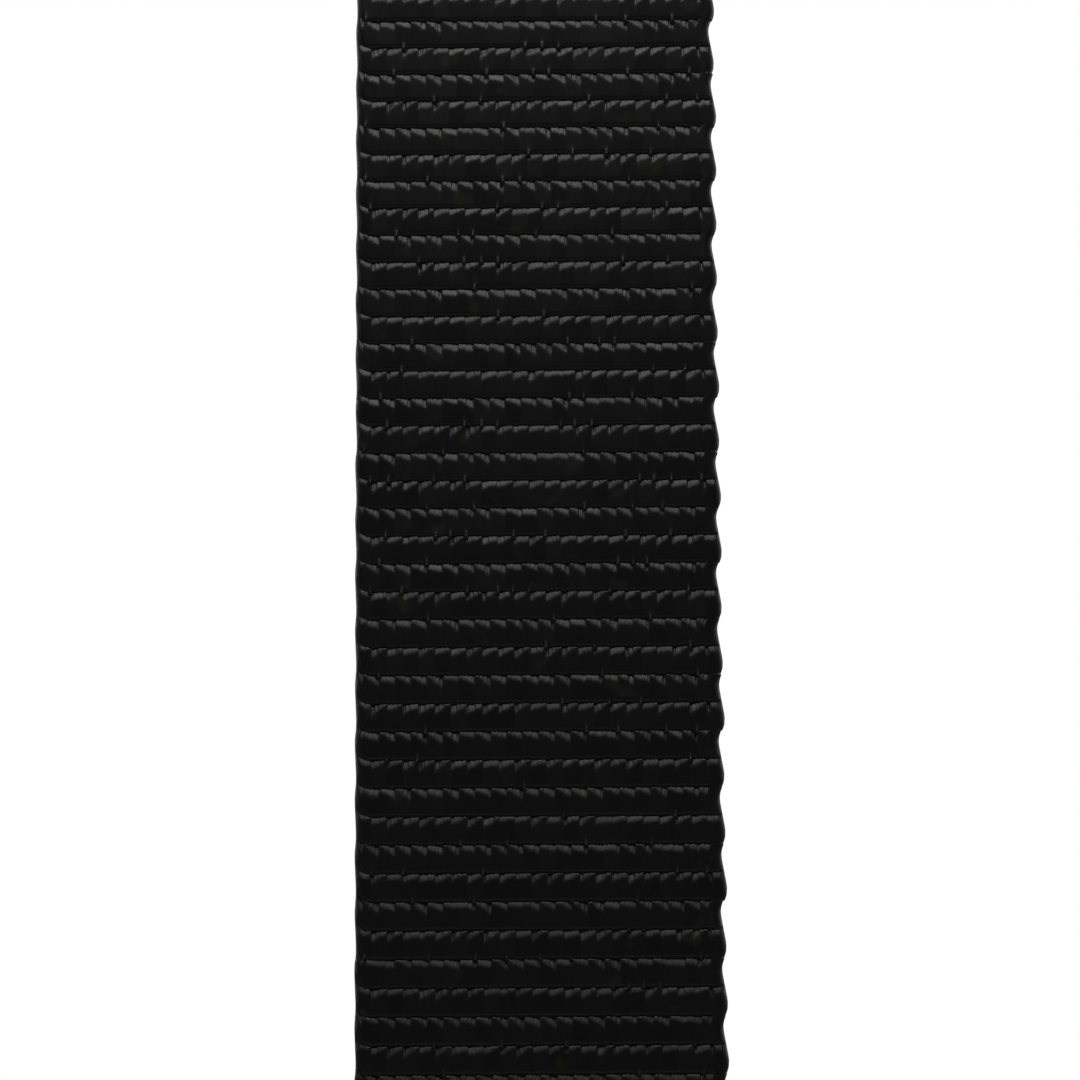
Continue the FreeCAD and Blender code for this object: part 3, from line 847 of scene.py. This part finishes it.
def build_tabs(leather, thread):
    """Both tabs' panels and thread, and the thread that tacks the webbing's end by the slider."""
    pattern = leather_pattern()
    adjust_end = LOWER_BAR_Z - KEEPER_LENGTH - TAB_OVERLAP
    two_plies = 2 * WEB_THICKNESS + PLY_GAP
    tabs = (
        ("plain", "plain_tab", (-LEG_Y, PLAIN_END_Z), WEB_THICKNESS, -1),
        ("adjust", "adjusting_tab", (LEG_Y - TURN_RADIUS, adjust_end), two_plies, 1),
    )
    for name, body, place, core, outward in tabs:
        for part, side in (("face", outward), ("back", -outward)):
            node = name + "_tab_" + part
            leather_panel("leather_" + node, pattern, place, core, side, node, body, leather)
        for seam in ("edge", "box"):
            node = name + "_tab_" + seam + "_stitching"
            thread_piece("thread_" + node, node, body, place[0], STITCH_LENGTH, thread)
    sewn_y = (RETURN_Y + FLAP_Y) / 2
    thread_piece("thread_end_tack", "end_tack_stitching", "slider", sewn_y, TACK_LENGTH, thread)


# ---------------------------------------------------------------- studio


def aim(obj, target):
    obj.rotation_euler = (Vector(target) - obj.location).to_track_quat("-Z", "Y").to_euler()


def area_light(name, location, target, size, power):
    data = bpy.data.lights.new(name, "AREA")
    data.shape = "RECTANGLE"
    data.size, data.size_y = size
    data.energy = power
    obj = bpy.data.objects.new(name, data)
    obj.location = location
    bpy.context.scene.collection.objects.link(obj)
    aim(obj, target)


def add_camera():
    """A camera close to the plain leg's front, looking up at it a little, with a slight roll."""
    data = bpy.data.cameras.new("camera")
    data.sensor_width = SENSOR
    data.lens = SENSOR * VIEW_DISTANCE / VIEW_HEIGHT
    data.clip_start = 0.01
    obj = bpy.data.objects.new("camera", data)
    bpy.context.scene.collection.objects.link(obj)
    forward = Vector((0, math.cos(VIEW_TILT), math.sin(VIEW_TILT)))
    target = Vector((VIEW_SHIFT_X, -LEG_Y - WEB_THICKNESS / 2, VIEW_Z))
    turn = forward.to_track_quat("-Z", "Y").to_matrix() @ Matrix.Rotation(VIEW_ROLL, 3, "Z")
    obj.matrix_world = Matrix.Translation(target - VIEW_DISTANCE * forward) @ turn.to_4x4()
    bpy.context.scene.camera = obj


def add_world():
    """White behind the strap; on it, a soft light from overhead that fades towards the sides."""
    world = bpy.data.worlds.new("studio")
    bpy.context.scene.world = world
    world.use_nodes = True
    nodes, links = world.node_tree.nodes, world.node_tree.links
    nodes.clear()
    out = nodes.new("ShaderNodeOutputWorld")
    seen = nodes.new("ShaderNodeLightPath")
    place = nodes.new("ShaderNodeTexCoord")
    height = nodes.new("ShaderNodeSeparateXYZ")
    links.new(place.outputs["Generated"], height.inputs["Vector"])
    sky = nodes.new("ShaderNodeMapRange")
    sky.interpolation_type = "SMOOTHSTEP"
    sky.inputs["From Min"].default_value = 0.45
    sky.inputs["From Max"].default_value = 1.0
    sky.inputs["To Min"].default_value = FILL
    sky.inputs["To Max"].default_value = OVERHEAD
    links.new(height.outputs["Z"], sky.inputs["Value"])
    light = nodes.new("ShaderNodeBackground")
    links.new(sky.outputs["Result"], light.inputs["Strength"])
    white = nodes.new("ShaderNodeBackground")
    white.inputs["Strength"].default_value = 1.0
    for background in (light, white):
        background.inputs["Color"].default_value = (1.0, 1.0, 1.0, 1.0)
    mix = nodes.new("ShaderNodeMixShader")
    links.new(seen.outputs["Is Camera Ray"], mix.inputs["Fac"])
    links.new(light.outputs["Background"], mix.inputs[1])
    links.new(white.outputs["Background"], mix.inputs[2])
    links.new(mix.outputs["Shader"], out.inputs["Surface"])


def add_floor():
    """A floor far below: pale where the camera sees it, and a plain grey to all other light."""
    mesh = bpy.data.meshes.new("floor")
    size = FLOOR_SIZE
    corners = [(-size, -size), (size, -size), (size, size), (-size, size)]
    mesh.from_pydata([(x, y, FLOOR_Z) for x, y in corners], [], [(0, 1, 2, 3)])
    floor = bpy.data.objects.new("floor", mesh)
    bpy.context.scene.collection.objects.link(floor)
    material, nodes, links, shader = new_material("floor")
    shader.inputs["Base Color"].default_value = (0.80, 0.80, 0.79, 1.0)
    shader.inputs["Roughness"].default_value = 0.9
    shader.inputs["Emission Color"].default_value = (1.0, 1.0, 0.99, 1.0)
    shader.inputs["Emission Strength"].default_value = 0.58
    dim = nodes.new("ShaderNodeBsdfDiffuse")
    dim.inputs["Color"].default_value = (0.55, 0.55, 0.55, 1.0)
    seen = nodes.new("ShaderNodeLightPath")
    mix = nodes.new("ShaderNodeMixShader")
    links.new(seen.outputs["Is Camera Ray"], mix.inputs["Fac"])
    links.new(dim.outputs["BSDF"], mix.inputs[1])
    links.new(shader.outputs["BSDF"], mix.inputs[2])
    links.new(mix.outputs["Shader"], nodes["Material Output"].inputs["Surface"])
    put_on(floor, material)


def add_studio():
    """A softbox above each side of the strap, and low side lights that its front doesn't mirror."""
    target = (0, -LEG_Y, VIEW_Z)
    for name, y in (("front_light", -SOFTBOX_Y), ("rear_light", SOFTBOX_Y)):
        area_light(name, (0.0, y, SOFTBOX_Z), target, SOFTBOX_SIZE, SOFTBOX_POWER)
    for side_name, x in (("left", -SIDE_X), ("right", SIDE_X)):
        for end_name, y, power in SIDE_ENDS:
            name = side_name + "_" + end_name + "_light"
            area_light(name, (x, y, SIDE_Z), STRAP_MIDDLE, SIDE_SIZE, power)
    bpy.context.scene.view_settings.view_transform = "Standard"


def main():
    materials = {
        "webbing": webbing_material(),
        "leather": leather_material(),
        "moulded": moulded_material(),
        "thread": thread_material(),
    }
    finish_cad_nodes(materials)
    add_camera()
    add_world()
    add_floor()
    add_studio()
    build_webbing(materials["webbing"])
    build_tabs(materials["leather"], materials["thread"])


main()
